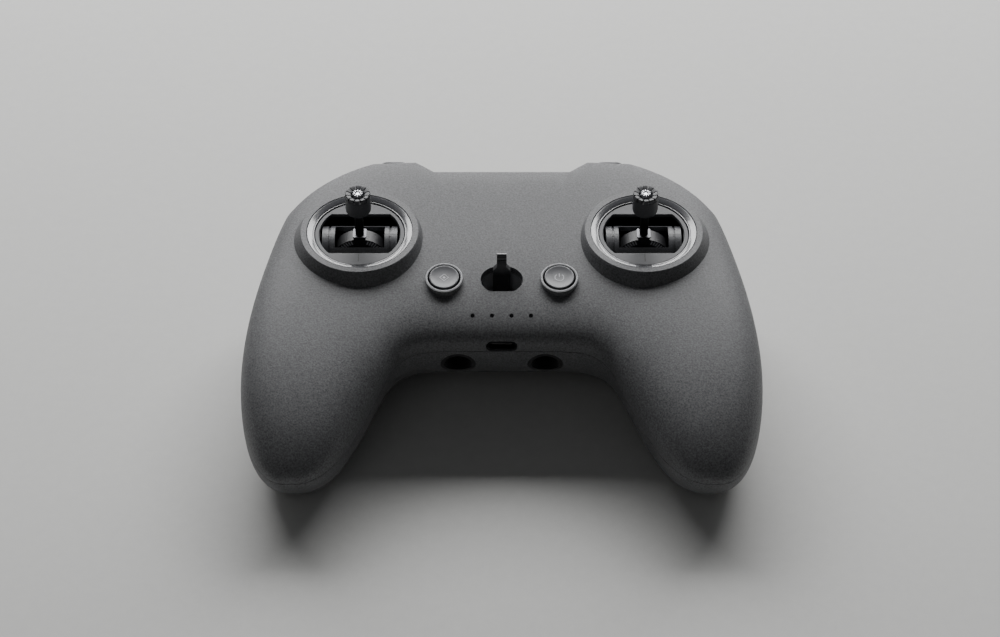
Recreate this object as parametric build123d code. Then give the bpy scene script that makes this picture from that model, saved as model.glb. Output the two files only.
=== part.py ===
"""A hand-held radio transmitter of the gamepad kind, as an assembly of its separate pieces.

The housing is a horseshoe: a flat centre with two stick gimbals, and two grips that drop towards the user.
It is a lofted tube that runs from one grip's tip, through the centre, to the other grip's tip.
Frame, in millimetres: +Z out of the front face, +Y towards the shoulder edge, +X to the user's right.
The origin is at the middle of the bounding box's base, which is the plane that the transmitter lies on.
The pieces are drawn on the gimbals' own datum, and save() moves them by CENTRE_Y to that origin.
"""
from build123d import *
from math import cos, sin, pi, hypot, radians
import os

os.makedirs("parts", exist_ok=True)

# ---- driving dimensions of the housing ----
WALL = 2.2              # thickness of the moulded shells
SEAM = 0.2              # open gap between the front and rear shells
SEAM_DROP = 0.9         # how far the seam lies under the widest line of the body
FACE_Z = 41.0           # height of the front face on the line y = 0
FACE_SLOPE = 0.085      # rise of the front face towards the shoulders
GRIP_DROP_R = 200.0     # radius on which the face falls away along the grips
PART_HIGH = 31.0        # height of the widest line round the centre
PART_LOW = 20.0         # height of the widest line at the grip tips
CENTRE_Y = 0.9          # middle of the housing's depth, on the datum that the pieces are drawn on
NOTCH_Y = 55.75         # shoulder edge between the two shoulders
SHOULDER_Y = 60.8       # shoulder edge at the two shoulders
SHOULDER_Z = 45.0       # height of that edge
SHOULDER_LEAN = 0.21    # the shoulder wall leans in by this much for each millimetre downwards
HEEL_R = 16.0           # round between the rear face and the shoulder wall
TOP_ROUND = 1.0         # round on the shoulder edge

# ---- stick gimbals ----
GIMBAL_X, GIMBAL_Y = 46.2, 26.5
PIVOT_Z = 34.8          # height at which both stick axes cross
RIM_Z = 45.5            # top of the raised rim round each gimbal
RIM_R = 19.5            # outer radius of that rim
OPENING_R = 17.3        # hole in the front shell
BEZEL_R = 17.2
WELL_R = 14.8           # inner radius of the bezel, and of the cover plate that it frames
WINDOW_R, WINDOW_HALF = 13.2, 9.05
DRUM_R, DRUM_WALL, DRUM_HALF = 9.2, 1.6, 12.2
SHAFT_R = 1.4
CARRIAGE_R, CARRIAGE_HALF, CARRIAGE_TURN = 8.9, 2.3, 57.0
ROOT_TOP_Z = 43.8       # top of the stick's root, where its rod begins
CAP_R, CAP_BASE_Z, CAP_TOP_Z = 4.1, 54.2, 62.0
FIT = 0.05              # radial running clearance of pins

# ---- face controls ----
BUTTON_X, BUTTON_Y, BUTTON_R = 18.5, 7.9, 4.8
BUTTON_HOLE_R, BUTTON_RIM_R, BUTTON_RIM_H = 5.3, 6.0, 0.8
BUTTON_H = 1.2          # how far the button's cap stands out of the front face
BUTTON_LEDGE_Z = 36.2   # underside of the button's retaining flange
LANYARD_Y, LANYARD_HALF_X, LANYARD_HALF_Y = 8.4, 6.8, 5.5
LANYARD_FRONT, LANYARD_BACK = 3.8, 13.3
LANYARD_FLOOR = 32.2    # height of the recess's floor
HOOK_WIDE, HOOK_NARROW, HOOK_THICK = 2.85, 1.55, 1.8
LED_Y, LED_PITCH, LED_R = -4.9, 6.2, 0.7

# ---- shoulder controls ----
DIAL_X, DIAL_R, DIAL_HALF = -36.0, 7.2, 2.4
DIAL_Y, DIAL_Z = 54.1, 32.0
SHUTTER_X, SHUTTER_R = 36.0, 4.0
SHUTTER_Z = 32.0
SHUTTER_Y = 53.4        # where the shutter button's cap begins, inside the wall
MODE_X, RETURN_X = -14.0, 14.0
SIDE_Z = 31.8           # height of the mode switch and of the return button

# ---- inside ----
BOARD_Z, BOARD_T, BOARD_HALF = 28.4, 1.2, 22.0
BOARD_TOP = BOARD_Z + BOARD_T
PORT_Z = BOARD_TOP + 1.7
PORT_HALF, PORT_H = 4.5, 1.6
SOCKET_X, SOCKET_Z, SOCKET_R, SOCKET_BORE_R, SOCKET_DEPTH = 14.0, 22.2, 5.6, 4.6, 14.0
EDGE_Y = -12.3          # wall between the two grips
CELL_R, CELL_L, CELL_Y, CELL_Z = 9.2, 65.0, 30.0, 12.2
# Screw places: x, y, and the height of the seat that the head pulls against.
SCREWS = [(63, -36, 6.0), (27, 4, 11.0), (27, 44, 6.0)]
SEAT_T = 2.0
BOARD_POSTS = [(19.2, 13.8), (19.2, 42.0)]


def smooth_step(share):
    share = min(1.0, max(0.0, share))
    return share * share * (3 - 2 * share)


def widest_z(y):
    """Height of the body's widest line: level round the centre and lower along the grips."""
    return PART_HIGH - (PART_HIGH - PART_LOW) * smooth_step((-4 - y) / 46)


def face_z(y):
    drop = 0 if y >= 0 else y * y / (2 * GRIP_DROP_R)
    return FACE_Z + FACE_SLOPE * y - drop


def rear_z(y):
    """Height of the rear face before it is cut flat at z = 0; it rises again towards the grip tips."""
    return -1.0 if y > -34 else -1.0 + 0.012 * (y + 34) ** 2


def cylinder(radius, length, at=(0, 0, 0), axis=(0, 0, 1)):
    """A cylinder that starts at a point and runs along an axis."""
    return Plane(origin=at, z_dir=axis) * Cylinder(
        radius, length, align=(Align.CENTER, Align.CENTER, Align.MIN)
    )


def tube(outer, inner, length, at=(0, 0, 0), axis=(0, 0, 1)):
    return cylinder(outer, length, at, axis) - cylinder(inner, length, at, axis)


def block(low, high):
    """A box between two corners."""
    size = [h - l for l, h in zip(low, high)]
    centre = [(h + l) / 2 for l, h in zip(low, high)]
    return Pos(*centre) * Box(*size)


def rounded_block(low, high, radius, axis=Axis.Z):
    box = block(low, high)
    return fillet(box.edges().filter_by(axis), radius)


def turned(outline, at=(0, 0)):
    """A solid of revolution about a vertical axis, from (radius, height) points."""
    profile = Plane.XZ * make_face(Polyline(*outline, close=True))
    return Pos(at[0], at[1], 0) * revolve(profile, Axis.Z)


def face_plane(x, y, lift=0.0):
    """A plane on the sloping front face, lifted off it along z."""
    return Plane(origin=(x, y, face_z(y) + lift), x_dir=(1, 0, 0), z_dir=(0, -FACE_SLOPE, 1))


def shoulder_y(z):
    """Where the leaning shoulder wall stands at a given height."""
    return SHOULDER_Y - SHOULDER_LEAN * (SHOULDER_Z - z)


def both_sides(shape):
    return shape + shape.mirror(Plane.YZ)


def save(shape, name):
    solids = (Pos(0, -CENTRE_Y, 0) * shape).solids()
    export_step(solids[0] if len(solids) == 1 else Compound(children=list(solids)), f"parts/{name}.step")


# ---- the housing ----
# Ribs of the right half, from the centre to the grip tip: inner end, outer end, height share, squareness.
RIBS = [
    ((0, EDGE_Y), (0, 80), 1.0, 3.0),
    ((13, EDGE_Y), (17, 80), 1.0, 3.0),
    ((24, -12.8), (36, 78), 1.0, 3.0),
    ((30.5, -15), (56, 68), 1.0, 3.0),
    ((34.5, -19), (69, 50), 1.0, 2.9),
    ((37.3, -24), (76, 27), 1.0, 2.8),
    ((40.2, -30), (80.3, 4), 1.0, 2.6),
    ((46.8, -43), (82.0, -33), 0.99, 2.4),
    ((50, -48.6), (79.8, -44), 0.93, 2.3),
    ((53.6, -53.4), (76.6, -52), 0.78, 2.2),
    ((57.4, -57.1), (73.2, -56.8), 0.54, 2.1),
    ((61.2, -59.0), (70.0, -59.0), 0.28, 2.0),
    ((63.8, -59.5), (67.6, -59.5), 0.12, 2.0),
]
INNER_RIBS = RIBS[:-2]
REAR_SQUARENESS = 2.2
RIB_STEPS = 12


def rib(inner, outer, share, squareness, inset, side):
    """One closed rib of the body: an upper and a lower half, each a superellipse on its own height."""
    (ax, ay), (bx, by) = inner, outer
    length = hypot(bx - ax, by - ay)
    ux, uy = (bx - ax) / length, (by - ay) / length
    half_width = length / 2 - inset
    edges = []
    for up, power in ((1, squareness), (-1, REAR_SQUARENESS)):
        points, heights = [], []
        for i in range(RIB_STEPS + 1):
            angle = pi * i / RIB_STEPS
            reach = (abs(cos(angle)) ** power + abs(sin(angle)) ** power) ** (-1 / power)
            across = up * reach * cos(angle) * half_width
            x, y = (ax + bx) / 2 + ux * across, (ay + by) / 2 + uy * across
            full = face_z(y) - widest_z(y) if up > 0 else widest_z(y) - rear_z(y)
            height = max(0.5, full - inset) * share
            points.append(Vector(side * x, y, widest_z(y) + up * height * reach * sin(angle)))
            heights.append(height)
        ends = [Vector(0, 0, up * pi * heights[0]), Vector(0, 0, -up * pi * heights[-1])]
        steps = [i / RIB_STEPS for i in range(RIB_STEPS + 1)]
        edges.append(Edge.make_spline(points, tangents=ends, parameters=steps, scale=False))
    return Wire(edges)


def horseshoe(inset):
    """The body before its shoulders and rear are cut: one loft through the ribs of both halves."""
    ribs = INNER_RIBS if inset else RIBS
    left = [rib(*r, inset, -1) for r in reversed(ribs[1:])]
    return Solid.make_loft(left + [rib(*r, inset, 1) for r in ribs])


def shoulder_prism(inset):
    """What the body keeps in plan: two shoulders, a shallow notch between them and slanting corners."""
    notch, shoulder = NOTCH_Y - inset, SHOULDER_Y + 0.5 - inset
    slack = inset / 2
    start, end = (40.5 - slack, shoulder), (69.5 - slack, 42.6 - inset)
    front = Polyline((0, notch), (22.5, notch), (29.5, shoulder), start)
    bend = ThreePointArc(start, (54.5 - slack, 55.0 - inset), end)
    back = Polyline(end, (100, 21 - inset), (100, -80), (0, -80), (0, notch))
    half = extrude(make_face(front + bend + back), 60)
    return both_sides(half)


def heel_prism(inset):
    """What the body keeps in side view: a flat rear face, a large round and the leaning shoulder wall."""
    low = inset
    foot = (shoulder_y(low) - inset, low)
    head = (shoulder_y(70) - inset, 70)
    outline = Plane.YZ * make_face(Polyline((-80, low), foot, head, (-80, 70), close=True))
    prism = extrude(outline, 100, both=True)
    heel = prism.edges().filter_by(Axis.X).sort_by_distance((0, foot[0], foot[1]))[0]
    return fillet(heel, HEEL_R - inset)


def housing_body(inset):
    return horseshoe(inset) & shoulder_prism(inset) & heel_prism(inset)


def is_shoulder_edge(edge):
    middle = edge @ 0.5
    return middle.Y > 44 and middle.Z > 40 and edge.geom_type == GeomType.BSPLINE


def above_seam(lift):
    """All that lies above the seam surface, which follows the body's widest line."""
    steps = [-52 + 4 * i for i in range(13)]
    line = [(-52, PART_LOW)] + [(y, widest_z(y)) for y in steps[1:-1]] + [(-4, PART_HIGH)]
    seam = Spline(*line, tangents=[(1, 0), (1, 0)])
    rest = Polyline((-4, PART_HIGH), (90, PART_HIGH), (90, 90), (-90, 90), (-90, PART_LOW), (-52, PART_LOW))
    return Pos(0, 0, lift - SEAM_DROP) * extrude(Plane.YZ * make_face(seam + rest), 100, both=True)


# ---- shells ----
def seat_boss(outer, x, y, seat):
    """The rear shell's screw seat: a post from the outside of the shell up to where the two shells meet."""
    return outer & cylinder(3.6, seat + SEAT_T + 5, (x, y, -5))


def seat_hole(x, y, seat):
    return cylinder(2.6, seat + 5, (x, y, -5)) + cylinder(1.2, SEAT_T + 1, (x, y, seat))


def front_post(outer, x, y, seat):
    post = outer & cylinder(3.0, 50, (x, y, seat + SEAT_T + 0.1))
    return post - cylinder(1.05, 12, (x, y, seat))


def every_screw(make, *first):
    """The same feature at every screw place, on both sides of the middle."""
    places = [(side * x, y, seat) for x, y, seat in SCREWS for side in (1, -1)]
    return [make(*first, *place) for place in places]


def gimbal_rim(side):
    """The raised ring round a gimbal opening, blending outwards into the face."""
    foot = (RIM_R + 5.2, 38.0)
    crest = (RIM_R, RIM_Z - 0.4)
    outline = Polyline(crest, (RIM_R - 0.4, RIM_Z), (OPENING_R, RIM_Z), (OPENING_R, 38.0), foot)
    outline += ThreePointArc(foot, (RIM_R + 2.2, 41.4), crest)
    ring = revolve(Plane.XZ * make_face(outline), Axis.Z)
    return Pos(side * GIMBAL_X, GIMBAL_Y, 0) * ring


def button_rim(x):
    plane = face_plane(x, BUTTON_Y, -1.5)
    return plane * Cylinder(BUTTON_RIM_R, 1.5 + BUTTON_RIM_H, align=(Align.CENTER, Align.CENTER, Align.MIN))


def lanyard_outline(grow, low, high):
    """The recess for the lanyard hook in plan: a wide ellipse that is cut flat in front and behind."""
    oval = extrude(Pos(0, LANYARD_Y, low) * Ellipse(LANYARD_HALF_X + grow, LANYARD_HALF_Y + grow), high - low)
    return oval & block((-20, LANYARD_FRONT - grow, low), (20, LANYARD_BACK + grow, high))


def shoulder_holes():
    """Openings in the shoulder wall for the dial, the shutter button, the mode switch and the return button."""
    dial = block((DIAL_X - 2.8, 48, DIAL_Z - 7.4), (DIAL_X + 2.8, 65, DIAL_Z + 7.4))
    shutter = cylinder(SHUTTER_R + 0.2, 20, (SHUTTER_X, 48, SHUTTER_Z), (0, 1, 0))
    mode = block((MODE_X - 5.6, 51, SIDE_Z - 1.5), (MODE_X + 5.6, 65, SIDE_Z + 1.5))
    back = block((RETURN_X - 3.8, 51, SIDE_Z - 1.8), (RETURN_X + 3.8, 65, SIDE_Z + 1.8))
    return dial + shutter + mode + back


def port_hole():
    return rounded_block((-5.0, -20, PORT_Z - 1.9), (5.0, -8, PORT_Z + 1.9), 1.8, Axis.Y)


def make_shells():
    outer = housing_body(0)
    outer = fillet(outer.edges().filter_by(is_shoulder_edge), TOP_ROUND)
    shell = outer - housing_body(WALL)
    front = shell & above_seam(SEAM / 2)
    for post in every_screw(front_post, outer):
        front += post
    for side in (1, -1):
        front -= cylinder(OPENING_R + 1, 40, (side * GIMBAL_X, GIMBAL_Y, 20))
        front += gimbal_rim(side)
        front += button_rim(side * BUTTON_X)
        front -= cylinder(BUTTON_HOLE_R, 20, (side * BUTTON_X, BUTTON_Y, 30))
    front -= lanyard_outline(0, 30, 50)
    for i in (-1.5, -0.5, 0.5, 1.5):
        front -= cylinder(LED_R, 20, (i * LED_PITCH, LED_Y, 31))
    openings = shoulder_holes() + port_hole()
    save(front - openings, "front_shell")

    rear = shell - above_seam(-SEAM / 2)
    for boss in every_screw(seat_boss, outer):
        rear += boss
    for x, y in BOARD_POSTS:
        rear += both_sides(outer & tube(2.2, 0.8, BOARD_Z - 0.5, (x, y, 0.5)))
    for hole in every_screw(seat_hole):
        rear -= hole
    for side in (1, -1):
        rear -= cylinder(SOCKET_R + 0.1, 30, (side * SOCKET_X, -20, SOCKET_Z), (0, 1, 0))
    save(rear - openings, "rear_shell")
    return outer


def make_fasteners():
    screws = []
    for x, y, seat in SCREWS:
        head = cylinder(2.3, 1.7, (x, y, seat - 1.7)) - Pos(x, y, seat - 1.7) * Box(0.7, 2.6, 2)
        head -= Pos(x, y, seat - 1.7) * Box(2.6, 0.7, 2)
        screws.append(both_sides(head + cylinder(1.0, 9, (x, y, seat))))
    save(Compound(children=[s for group in screws for s in group.solids()]), "rear_screws")


# ---- stick gimbals ----
def gimbal_base():
    """A cup that carries the drum on two side bearings and the bezel on its upper edge."""
    low, top = 22.0, 43.0
    cup = cylinder(16.9, top - low, (0, 0, low))
    hollow = block((-13, -10.6, low + 1.5), (13, 10.6, top + 1)) & cylinder(15.9, 30, (0, 0, low))
    ease = fillet(hollow.edges().filter_by(Axis.Z), 0.6)
    bearings = cylinder(2.0 + FIT, 31.4, (-15.7, 0, PIVOT_Z), (1, 0, 0))
    relief = tube(18, 15.2, 4, (0, 0, low)) & block((-20, -6, low), (20, 6, low + 4))
    return cup - ease - bearings - relief


def gimbal_cover():
    plate = cylinder(WELL_R - 0.2, 1.2, (0, 0, 43.0))
    window = cylinder(WINDOW_R, 5, (0, 0, 42)) & block((-20, -WINDOW_HALF, 42), (20, WINDOW_HALF, 47))
    return fillet((plate - window).edges().group_by(Axis.Z)[-1], 0.25)


def gimbal_bezel():
    outline = [(15.0, 43.0), (BEZEL_R, 43.0), (BEZEL_R, 45.2), (17.0, 45.4), (WELL_R, 44.3), (WELL_R, 43.6)]
    notch = block((-2.1, -20, 44.2), (2.1, -13, 47))
    return turned(outline) - notch


def gimbal_drum():
    """The body that turns about the left-right axis: a windowed drum with ringed hubs."""
    axis = (1, 0, 0)
    drum = tube(DRUM_R, DRUM_R - DRUM_WALL, 2 * DRUM_HALF, (-DRUM_HALF, 0, PIVOT_Z), axis)
    for end in (-1, 1):
        drum += cylinder(DRUM_R, 1.6, (end * (DRUM_HALF - 0.8) - 0.8, 0, PIVOT_Z), axis)
        drum += cylinder(2.0, 3.4, (end * (DRUM_HALF + 1.6) - 1.7, 0, PIVOT_Z), axis)
        drum -= tube(DRUM_R + 1, DRUM_R - 0.5, 0.7, (end * 9.9 - 0.35, 0, PIVOT_Z), axis)
        for k in range(5):
            turn = radians(30 + 30 * k)
            spot = (end * 12.0 - 0.3, 5.6 * cos(turn), PIVOT_Z + 5.6 * sin(turn))
            drum -= cylinder(0.6, 0.6, spot, axis)
    reach = DRUM_R * sin(radians(32))
    drum -= block((-8.1, -reach, PIVOT_Z), (8.1, reach, PIVOT_Z + 12))
    drum -= cylinder(1.1, 2, (13.9, 0, PIVOT_Z), axis)
    return drum - cylinder(SHAFT_R + FIT, 20, (0, -10, PIVOT_Z), (0, 1, 0))


def carriage_sector(radius, half_width):
    """A slice of a disc about the cross shaft, opened by CARRIAGE_TURN to each side of straight up."""
    disc = cylinder(radius, 2 * half_width, (0, -half_width, PIVOT_Z), (0, 1, 0))
    turn = radians(CARRIAGE_TURN)
    tip = (20 * sin(turn), PIVOT_Z + 20 * cos(turn))
    wedge = Polyline((0, PIVOT_Z), tip, (tip[0], 70), (-tip[0], 70), (-tip[0], tip[1]), close=True)
    return disc & extrude(Plane.XZ * make_face(wedge), 10, both=True)


def stick_block():
    """The stick's root: a post with a curved shield on a cross shaft, which turns inside the drum."""
    shield = carriage_sector(CARRIAGE_R, CARRIAGE_HALF) - carriage_sector(CARRIAGE_R - 1, CARRIAGE_HALF - 0.7)
    root = rounded_block((-1.95, -2.3, PIVOT_Z - 3.2), (1.95, 2.3, ROOT_TOP_Z), 0.5)
    return root + shield + cylinder(SHAFT_R, 17.8, (0, -8.9, PIVOT_Z), (0, 1, 0))


def stick_clip():
    """A flat steel clip on the root's top that grips the rod from behind."""
    plate = rounded_block((-2.2, -1.9, ROOT_TOP_Z), (2.2, 2.2, ROOT_TOP_Z + 0.5), 0.5)
    return plate - block((-SHAFT_R, 0, 0), (SHAFT_R, 5, 60)) - cylinder(SHAFT_R, 60)


def stick_rod():
    rod = cylinder(SHAFT_R, 58.0 - ROOT_TOP_Z, (0, 0, ROOT_TOP_Z))
    return chamfer(rod.edges().group_by(Axis.Z)[-1], 0.4)


def stick_cap():
    """The thumb cap: a sleeve that screws on the rod, with a crown of radial teeth round a recess."""
    length = CAP_TOP_Z - CAP_BASE_Z
    sleeve = cylinder(CAP_R, length, (0, 0, CAP_BASE_Z))
    sleeve = chamfer(sleeve.edges().group_by(Axis.Z)[0], 0.5)
    sleeve = fillet(sleeve.edges().group_by(Axis.Z)[-1], 0.6)
    sleeve -= cylinder(2.5, 2, (0, 0, CAP_TOP_Z - 1.4))
    sleeve -= cylinder(1.4 + FIT, 4.2, (0, 0, CAP_BASE_Z - 0.1))
    groove = Pos(CAP_R, 0, CAP_TOP_Z) * Rot(0, 0, 45) * Box(0.9, 0.9, 2.0)
    channel = Pos(3.6, 0, CAP_TOP_Z) * Rot(45, 0, 0) * Box(4, 0.8, 0.8)
    for k in range(12):
        sleeve -= Rot(0, 0, 30 * k) * (groove + channel)
    return sleeve


def stick_star():
    """The metal grip pin: a six-pointed star standing in the middle of the crown."""
    base = CAP_TOP_Z - 1.4
    star = cylinder(1.3, 1.3, (0, 0, base))
    for k in range(3):
        star += Rot(0, 0, 60 * k) * block((-2.3, -0.45, base), (2.3, 0.45, base + 1.3))
    return star


def gimbal_board():
    board = cylinder(12, 1.0, (0, 0, 20.9)) - block((-13, -14, 20), (13, -9, 23))
    return board + block((-3, 2, 20.0), (3, 7, 20.9))


def drum_magnet():
    return cylinder(1.05, 1.4, (13.9, 0, PIVOT_Z), (1, 0, 0))


def centring_leaf():
    """The bent leaf spring under the drum that brings the stick back to the middle."""
    leaf = block((-6, -9, 23.5), (6, 9, 23.9))
    crown = block((-3, -5, 23.9), (3, 5, 24.5))
    return leaf + fillet(crown.edges().group_by(Axis.Z)[-1], 0.3)


def make_gimbals():
    makers = {
        "gimbal_base": gimbal_base,
        "gimbal_cover": gimbal_cover,
        "gimbal_bezel": gimbal_bezel,
        "gimbal_drum": gimbal_drum,
        "drum_magnet": drum_magnet,
        "stick_block": stick_block,
        "stick_clip": stick_clip,
        "stick_rod": stick_rod,
        "stick_cap": stick_cap,
        "stick_star": stick_star,
        "gimbal_board": gimbal_board,
        "centring_leaf": centring_leaf,
    }
    for name, make in makers.items():
        shape = make()
        save(Pos(-GIMBAL_X, GIMBAL_Y, 0) * shape, f"{name}_left")
        save(Pos(GIMBAL_X, GIMBAL_Y, 0) * shape, f"{name}_right")


# ---- face controls ----
def face_button(x):
    """A round cap with a retaining flange and a stem that reaches down to its switch."""
    top = face_z(BUTTON_Y) + BUTTON_H
    cap = cylinder(BUTTON_R, top + 2 - BUTTON_LEDGE_Z, (x, BUTTON_Y, BUTTON_LEDGE_Z))
    cap -= face_plane(x, BUTTON_Y, BUTTON_H) * Pos(0, 0, 5) * Box(20, 20, 10)
    rim_edge = cap.edges().group_by(Axis.Z)[-1]
    flange = cylinder(5.9, 1.0, (x, BUTTON_Y, BUTTON_LEDGE_Z))
    stem = cylinder(1.6, 2.6, (x, BUTTON_Y, BUTTON_LEDGE_Z - 2.6))
    return fillet(rim_edge, 0.3) + flange + stem


def button_switch(x):
    case = rounded_block((x - 3, BUTTON_Y - 3, BOARD_TOP), (x + 3, BUTTON_Y + 3, BOARD_TOP + 2.4), 0.4)
    return case + cylinder(1.7, 3.1, (x, BUTTON_Y, BOARD_TOP))


def lanyard_cup(outer):
    """The recess's lining, trimmed to stop just short of the shell's inner surface."""
    cup = lanyard_outline(0.9, LANYARD_FLOOR - 1.2, 45) - lanyard_outline(-0.3, LANYARD_FLOOR, 46)
    return cup & Pos(0, 0, -WALL - 0.3) * outer


def lanyard_hook():
    """A flat strip that stands up at the back of the recess, narrows above it and curls over at its top."""
    back, neck, rise = LANYARD_BACK - 0.3, 42.1, 47.8
    half = [(0, LANYARD_FLOOR), (HOOK_WIDE, LANYARD_FLOOR), (HOOK_WIDE, neck)]
    half += [(HOOK_NARROW, neck + 1.7), (HOOK_NARROW, rise), (0, rise)]
    post = extrude(Plane.XZ.offset(-back) * make_face(Polyline(*half, close=True)), HOOK_THICK)
    foot = block((0, LANYARD_FRONT + 0.7, LANYARD_FLOOR), (HOOK_WIDE, back, LANYARD_FLOOR + HOOK_THICK))
    head = cylinder(1.3, HOOK_NARROW, (0, back - 1.1, rise), (1, 0, 0))
    return fillet(both_sides(post + foot + head).edges().filter_by(Axis.Y), 0.3)


def light_pipes():
    pipes = block((-1.5 * LED_PITCH - 1, LED_Y - 1, 33.4), (1.5 * LED_PITCH + 1, LED_Y + 1, 34.6))
    for i in (-1.5, -0.5, 0.5, 1.5):
        pipes += cylinder(LED_R - 0.1, 12, (i * LED_PITCH, LED_Y, 30.8))
    return pipes


def status_leds():
    one = block((-0.8, LED_Y - 0.5, BOARD_TOP), (0.8, LED_Y + 0.5, BOARD_TOP + 0.7))
    return Compound(children=[Pos(i * LED_PITCH, 0, 0) * one for i in (-1.5, -0.5, 0.5, 1.5)])


def make_face_controls(outer):
    save(face_button(-BUTTON_X), "function_button")
    save(face_button(BUTTON_X), "power_button")
    save(button_switch(-BUTTON_X), "function_switch")
    save(button_switch(BUTTON_X), "power_switch")
    save(lanyard_cup(outer), "lanyard_cup")
    save(lanyard_hook(), "lanyard_hook")
    save(light_pipes() & Pos(0, 0, -0.15) * outer, "light_pipes")
    save(status_leds(), "status_leds")


# ---- shoulder controls ----
def dial_wheel():
    """A thumb wheel with a knurled edge on a fixed shaft."""
    start, axis = DIAL_X - DIAL_HALF, (1, 0, 0)
    wheel = cylinder(DIAL_R, 2 * DIAL_HALF, (start, DIAL_Y, DIAL_Z), axis)
    wheel = chamfer(wheel.edges().filter_by(GeomType.CIRCLE), 0.5)
    for k in range(24):
        turn = 2 * pi * k / 24
        spot = (start - 1, DIAL_Y + DIAL_R * cos(turn), DIAL_Z + DIAL_R * sin(turn))
        wheel -= cylinder(0.35, 2 * DIAL_HALF + 2, spot, axis)
    return wheel - cylinder(1.2 + FIT, 20, (start - 5, DIAL_Y, DIAL_Z), axis)


def dial_bracket():
    """The fork that holds the wheel's shaft between its two cheeks."""
    gap, cheek, root = DIAL_HALF + 0.5, 1.2, DIAL_Y - 9.1
    back = block((DIAL_X - gap - cheek, root, DIAL_Z - 3), (DIAL_X + gap + cheek, root + 1.2, DIAL_Z + 3))
    fork = back + cylinder(1.2, 2 * gap, (DIAL_X - gap, DIAL_Y, DIAL_Z), (1, 0, 0))
    for side in (-1, 1):
        centre = DIAL_X + side * (gap + cheek / 2)
        fork += block((centre - cheek / 2, root, DIAL_Z - 3), (centre + cheek / 2, DIAL_Y - 0.9, DIAL_Z + 3))
        fork += cylinder(1.6, cheek, (centre - cheek / 2, DIAL_Y, DIAL_Z), (1, 0, 0))
    return fork


def shutter_button():
    cap = cylinder(SHUTTER_R, 7.6, (SHUTTER_X, SHUTTER_Y, SHUTTER_Z), (0, 1, 0))
    cap = fillet(cap.edges().group_by(Axis.Y)[-1], 0.8)
    flange = cylinder(4.8, 0.8, (SHUTTER_X, SHUTTER_Y, SHUTTER_Z), (0, 1, 0))
    stem = cylinder(1.4, 4.1, (SHUTTER_X, SHUTTER_Y - 4.1, SHUTTER_Z), (0, 1, 0))
    return cap + flange + stem


def shutter_switch():
    front = SHUTTER_Y - 8.0
    card = block((SHUTTER_X - 3.6, front - 1, SHUTTER_Z - 6), (SHUTTER_X + 3.6, front, SHUTTER_Z + 6))
    case = block((SHUTTER_X - 3, front, SHUTTER_Z - 3), (SHUTTER_X + 3, front + 2.4, SHUTTER_Z + 3))
    return card + case + cylinder(1.6, 3.0, (SHUTTER_X, front, SHUTTER_Z), (0, 1, 0))


def mode_slider():
    """The three-place slide switch's thumb piece with its finger ribs."""
    root, tip = NOTCH_Y - 1.8, NOTCH_Y + 2.2
    thumb = block((MODE_X - 2.6, root, SIDE_Z - 1.2), (MODE_X + 2.6, tip, SIDE_Z + 1.2))
    thumb = fillet(thumb.edges().group_by(Axis.Y)[-1], 0.4)
    for k in (-1, 0, 1):
        thumb -= Pos(MODE_X + 1.3 * k, tip, SIDE_Z) * Box(0.5, 0.8, 4)
    return thumb + block((MODE_X - 1, 50.7, SIDE_Z - 0.8), (MODE_X + 1, root, SIDE_Z + 0.8))


def mode_switch_case():
    return rounded_block((MODE_X - 6, 45.0, BOARD_TOP), (MODE_X + 6, 50.6, BOARD_TOP + 4), 0.4)


def return_button():
    root = NOTCH_Y - 4.0
    cap = block((RETURN_X - 3.6, root, SIDE_Z - 1.6), (RETURN_X + 3.6, NOTCH_Y + 2, SIDE_Z + 1.6))
    cap = fillet(cap.edges().group_by(Axis.Y)[-1], 0.5)
    flange = block((RETURN_X - 4.4, root, SIDE_Z - 1.6), (RETURN_X + 4.4, root + 0.8, SIDE_Z + 1.6))
    stem = block((RETURN_X - 1, 50.5, SIDE_Z - 0.8), (RETURN_X + 1, root, SIDE_Z + 0.8))
    return cap + flange + stem


def return_switch():
    case = rounded_block((RETURN_X - 3, 45.4, BOARD_TOP), (RETURN_X + 3, 48.6, BOARD_TOP + 3.4), 0.4)
    return case + cylinder(0.9, 2.0, (RETURN_X, 47.6, SIDE_Z), (0, 1, 0))


def control_plate(side):
    """A thin trim plate on the leaning shoulder wall round a shoulder control."""
    plane = Plane(origin=(side * SHUTTER_X, shoulder_y(34), 34), x_dir=(1, 0, 0), z_dir=(0, 1, -SHOULDER_LEAN))
    return plane * rounded_block((-5.3, -10.6, 0), (5.3, 11.2, 0.45), 3.0)


def make_shoulder_controls():
    holes = shoulder_holes()
    save(control_plate(-1) - holes, "dial_plate")
    save(control_plate(1) - holes, "shutter_plate")
    save(dial_wheel(), "gimbal_dial")
    save(dial_bracket(), "dial_bracket")
    save(shutter_button(), "shutter_button")
    save(shutter_switch(), "shutter_switch")
    save(mode_slider(), "mode_slider")
    save(mode_switch_case(), "mode_switch_case")
    save(return_button(), "return_button")
    save(return_switch(), "return_switch")


# ---- port, sockets and inside ----
def port_shell():
    outside = rounded_block(
        (-PORT_HALF, EDGE_Y + 0.5, PORT_Z - PORT_H), (PORT_HALF, EDGE_Y + 6.3, PORT_Z + PORT_H), 1.5, Axis.Y
    )
    inside = rounded_block(
        (-PORT_HALF + 0.3, EDGE_Y - 1, PORT_Z - PORT_H + 0.3),
        (PORT_HALF - 0.3, EDGE_Y + 5.7, PORT_Z + PORT_H - 0.3),
        1.25,
        Axis.Y,
    )
    return outside - inside


def port_tongue():
    return block((-3.3, EDGE_Y + 1.5, PORT_Z - 0.35), (3.3, EDGE_Y + 5.7, PORT_Z + 0.35))


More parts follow.
